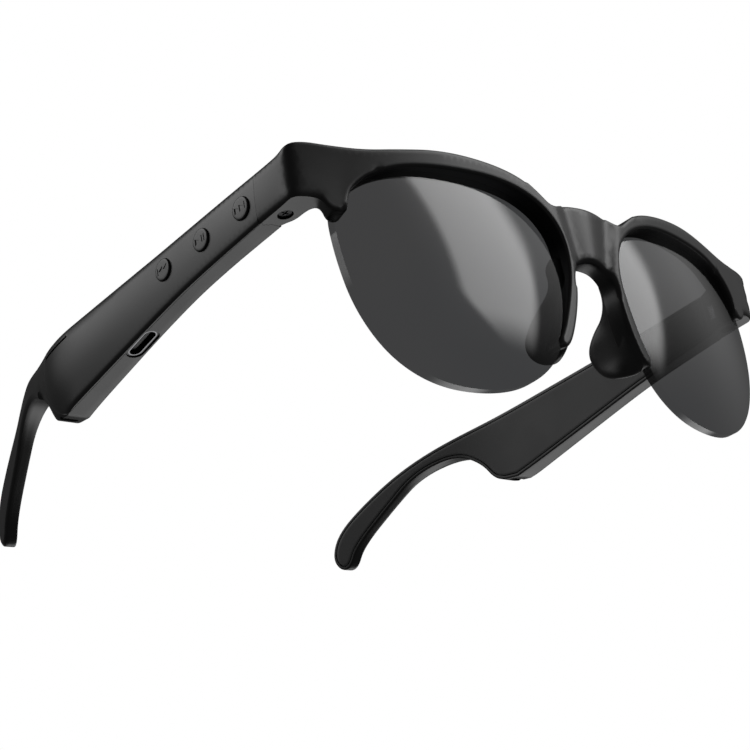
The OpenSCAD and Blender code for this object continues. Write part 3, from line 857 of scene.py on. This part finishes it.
def temple_openings(side):
    outlet = stadium(OUTLET_W, OUTLET_H)
    cutters = [
        prism("outlet", outlet, outlet_place, -OUTLET_DEEP, OUTLET_DEEP, side),
        vent_cutter(side),
    ]
    if side < 0:
        port = stadium(PORT_W, PORT_H)
        recess = stadium(PORT_W + RECESS_RIM, PORT_H + RECESS_RIM)
        belly = on_belly(PORT_Y, PORT_X)
        cutters.append(prism("port", port, belly, -PORT_DEEP, PROUD, side))
        cutters.append(prism("recess", recess, belly, -RECESS_DEEP, PROUD, side))
    return cutters


def make_temple(side):
    name = side_name(side)
    body_name = "temple_" + name
    loop = outline(TEMPLE_SIDE)
    seam_normal = Vector((side, -SEAM_RISE, 0)).normalized()
    cover = plate("outer_cover_moulded_" + name, loop, temple_surface, temple_edge,
                  lambda u, v: INNER_EDGE, side=side)
    body = plate("temple_body_moulded_" + name, loop, temple_surface, temple_edge,
                 lambda u, v: INNER_EDGE, side=side, step=(PANEL_MARGIN, PANEL_T))
    for piece in (cover, body):
        cut(piece, seam_cutter(side, SEAM_Y + SEAM_GAP, FAR_AHEAD))
    split(cover, (side * (SEAM_X + COVER_GAP), TEMPLE_START, 0), -seam_normal)
    split(body, (side * (SEAM_X - COVER_GAP), TEMPLE_START, 0), seam_normal)
    cut(body, *temple_openings(side))
    cut(cover, vent_cutter(side))
    if side < 0:
        cut(cover, *[button_well(i) for i in range(len(BUTTONS))])
    finish_piece(cover, "cover_plastic", body_name, "outer_cover_" + name)
    finish_piece(body, "frame_plastic", body_name, "temple_body_" + name)


def panel_surface(y, z, back, drop):
    x = X_IN(y)
    return np.column_stack([x + drop if back else x + PANEL_T - PANEL_SUNK - drop, y, z])


def make_inner_cover(side):
    """The flat panel that closes a temple's inner side."""
    name = side_name(side)
    short = outline(TEMPLE_SIDE)
    short[:, 0] = np.maximum(short[:, 0], TEMPLE_START)
    panel = inset(spaced(short, np.zeros(len(short), bool), FINE), PANEL_MARGIN + PANEL_GAP)
    cover = plate("inner_cover_moulded_" + name, panel, panel_surface,
                  lambda u, v: PANEL_EDGE, lambda u, v: PANEL_REAR_EDGE,
                  rings=PANEL_RINGS, rows=1, side=side)
    finish_piece(cover, "inner_plastic", "temple_" + name, "inner_cover_" + name)


# ----------------------------------------------------------------- buttons

MARK = 0.8                    # half height of a mark
ARROW = 1.4
BAR = 0.14                    # half width of a bar
MARK_DEEP = 0.15


def arrow(at, way):
    return [(at, -MARK), (at, MARK), (at + way * ARROW, 0)]


def bar(at):
    return [(at - BAR, -MARK), (at - BAR, MARK), (at + BAR, MARK), (at + BAR, -MARK)]


BUTTONS = [
    ("button_next", "next_button", [arrow(-1.7, 1), arrow(-0.2, 1), bar(1.5)]),
    ("button_play", "play_button", [arrow(-1.6, 1), bar(0.6), bar(1.3)]),
    ("button_previous", "previous_button", [arrow(1.7, -1), arrow(0.2, -1), bar(-1.5)]),
]


def button_middle(i):
    return BUTTON_Y + i * BUTTON_PITCH


def button_well(i):
    y = button_middle(i)
    return prism("well", circle(BUTTON_R + BUTTON_GAP, 64),
                 lambda a, b, c: (c, y + a, BUTTON_Z + b), *WELL_REACH, -1)


def make_button(i):
    name, body, marks = BUTTONS[i]
    y0 = button_middle(i)

    def cap(y, z, back, drop):
        top = crown(y, z) + BUTTON_PROUD - drop
        return np.column_stack([np.full_like(y, BUTTON_BACK) + drop if back else top, y, z])

    loop = np.array([(y0 + a, BUTTON_Z + b) for a, b in circle(BUTTON_R, 96)])
    button = plate(name + "_cap", loop, cap, lambda u, v: BUTTON_EDGE,
                   lambda u, v: BUTTON_REAR_EDGE, rings=BUTTON_RINGS, grid=0.5, side=-1)
    top = CROWN_X + (y0 - TEMPLE_START) * CROWN_RISE + BUTTON_PROUD
    for mark in marks:
        shape = [(y0 - a, BUTTON_Z + b) for a, b in mark]
        cut(button, prism("mark", shape, lambda a, b, c: (c, a, b), top - MARK_DEEP,
                          top + 2 * PROUD, -1))
    finish_piece(button, "button_plastic", body, name)


# ------------------------------------------------------- CAD nodes that stay

KEPT = {
    "hinge_steel": ["hinge_leaf_left", "hinge_leaf_right"],
    "screw_steel": ["hinge_screws"],
    "core_steel": ["core_wire_left", "core_wire_right"],
    "flex_copper": ["brow_flex"],
    "board_green": ["link_board_left", "main_board"],
    "chip_black": ["board_chips"],
    "mic_metal": ["microphone"],
    "switch_metal": ["tact_switches"],
    "port_steel": ["usb_c_shell"],
    "port_tongue": ["usb_c_tongue"],
    "cell_foil": ["battery_left", "battery_right"],
    "speaker_black": ["speaker_left", "speaker_right"],
    "sound_mesh": ["outlet_mesh_left", "outlet_mesh_right", "vent_mesh_left", "vent_mesh_right"],
}


def dress_kept_nodes():
    for slot, nodes in KEPT.items():
        for node in nodes:
            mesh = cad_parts[node].data
            mesh.materials.clear()
            mesh.materials.append(MATERIALS[slot])


# ------------------------------------------------------------------- stage

FLOOR_SIZE = 3000.0
FLOOR_T = 20.0
FLOOR_HEIGHT = -600.0


def make_floor():
    """A pale floor far below, since the camera looks up at the glasses."""
    floor = box("floor", (-FLOOR_SIZE, -FLOOR_SIZE, -FLOOR_T), (FLOOR_SIZE, FLOOR_SIZE, 0))
    floor.matrix_world = Matrix.Translation((0, 0, FLOOR_HEIGHT * MM)) @ STAND.inverted()
    floor.data.materials.append(
        surface("floor_paint", (0.8, 0.8, 0.8), (0.84, 0.84, 0.84), (0.7, 0.9), 200, 0.0001))
    floor.visible_glossy = False
    floor.visible_diffuse = False
    floor.visible_shadow = False
    floor.visible_transmission = False


# Soft lights round the object: azimuth and its soft ends, height and its soft ends, strength.
# Azimuth 0 is in front of the glasses and 90 on the wearer's left, in degrees.
LIGHTS = [
    ((26.5, 30, 51, 59), (5, 13, 40, 60), 3.3),
    ((16, 40, 70, 100), (0, 30, 50, 80), 0.5),
    ((-160, -142, -122, -104), (20, 34, 50, 66), 2.3),
    ((-142, -130, -114, -100), (2, 12, 22, 30), 1.0),
    ((95, 112, 142, 165), (-56, -38, -28, -15), 1.5),
]
FILL = 0.08
# The lower edge of the first light slants: its side and its bottom, in degrees.
SLANT_SIDE = (-12, 2, 16)
SLANT_LOW = (18, 46, 58)


class Nodes:
    """Short calls for the world's arithmetic."""

    def __init__(self, tree):
        self.tree = tree

    def put(self, socket, value):
        if isinstance(value, bpy.types.NodeSocket):
            self.tree.links.new(value, socket)
        else:
            socket.default_value = value

    def math(self, operation, *values):
        node = self.tree.nodes.new("ShaderNodeMath")
        node.operation = operation
        for socket, value in zip(node.inputs, values):
            self.put(socket, value)
        return node.outputs[0]

    def step(self, value, low, high, start=0.0, end=1.0):
        node = self.tree.nodes.new("ShaderNodeMapRange")
        node.interpolation_type = "SMOOTHSTEP"
        for name, number in (("Value", value), ("From Min", low), ("From Max", high),
                             ("To Min", start), ("To Max", end)):
            self.put(node.inputs[name], number)
        return node.outputs["Result"]

    def window(self, value, ends):
        a, b, c, d = (math.radians(e) for e in ends)
        return self.math("MULTIPLY", self.step(value, a, b), self.step(value, c, d, 1.0, 0.0))

    def slant(self, value, turn, falling):
        """An angle that fades in, or out, while value runs between two angles."""
        angle, low, high = (math.radians(t) for t in turn)
        ends = (angle, 0.0) if falling else (0.0, angle)
        return self.step(value, low, high, *ends)


def make_world():
    """White to the eye; what the surfaces mirror is a dark room with a few soft lights."""
    world = bpy.data.worlds.new("studio")
    bpy.context.scene.world = world
    world.use_nodes = True
    tree = world.node_tree
    nodes = Nodes(tree)
    where = tree.nodes.new("ShaderNodeTexCoord")
    level = tree.nodes.new("ShaderNodeVectorRotate")
    level.rotation_type = "X_AXIS"
    level.inputs["Angle"].default_value = math.radians(STAND_TILT)
    tree.links.new(where.outputs["Generated"], level.inputs["Vector"])
    parts = tree.nodes.new("ShaderNodeSeparateXYZ")
    tree.links.new(level.outputs[0], parts.inputs[0])
    x, y, z = parts.outputs
    azimuth = nodes.math("ARCTAN2", x, nodes.math("MULTIPLY", y, -1.0))
    height = nodes.math("ARCSINE", z)
    total = FILL
    turned = nodes.math("ADD", azimuth, nodes.slant(height, SLANT_SIDE, True))
    lowered = nodes.math("SUBTRACT", height, nodes.slant(azimuth, SLANT_LOW, False))
    for number, (across, up, strength) in enumerate(LIGHTS):
        wide = nodes.window(azimuth if number else turned, across)
        tall = nodes.window(height if number else lowered, up)
        shape = nodes.math("MULTIPLY", wide, tall)
        total = nodes.math("MULTIPLY_ADD", shape, strength, total)
    path = tree.nodes.new("ShaderNodeLightPath")
    seen = tree.nodes.new("ShaderNodeMix")
    seen.data_type = "FLOAT"
    tree.links.new(path.outputs["Is Camera Ray"], seen.inputs[0])
    nodes.put(seen.inputs[2], total)
    seen.inputs[3].default_value = 1.0
    background = tree.nodes["Background"]
    background.inputs["Color"].default_value = (1, 1, 1, 1)
    tree.links.new(seen.outputs[0], background.inputs["Strength"])


CAMERA_LENS = 74.4
CAMERA_SENSOR = 36.0
CAMERA_NEAR = 0.01
CAMERA_PLACE = (-250.848, -180.373, -160.053)
CAMERA_RIGHT = (0.7418, -0.6434, -0.1894)
CAMERA_UP = (-0.1348, -0.4197, 0.8976)


def make_camera():
    """A camera in front of the glasses, to the wearer's right and below, looking up."""
    data = bpy.data.cameras.new("camera")
    data.lens = CAMERA_LENS
    data.sensor_width = CAMERA_SENSOR
    data.clip_start = CAMERA_NEAR
    camera = bpy.data.objects.new("camera", data)
    bpy.context.scene.collection.objects.link(camera)
    right = Vector(CAMERA_RIGHT)
    up = Vector(CAMERA_UP)
    back = right.cross(up).normalized()
    right = up.cross(back).normalized()
    up = back.cross(right)
    turn = Matrix((right, up, back)).transposed().to_4x4()
    camera.matrix_world = STAND @ Matrix.Translation(Vector(CAMERA_PLACE) * MM) @ turn
    bpy.context.scene.camera = camera


make_camera()
make_world()
make_floor()
make_front()
for wearer_side in (1, -1):
    make_lens(wearer_side)
    make_pad(wearer_side)
    make_temple(wearer_side)
    make_inner_cover(wearer_side)
for number in range(len(BUTTONS)):
    make_button(number)
dress_kept_nodes()
bpy.context.scene.view_settings.view_transform = "Standard"
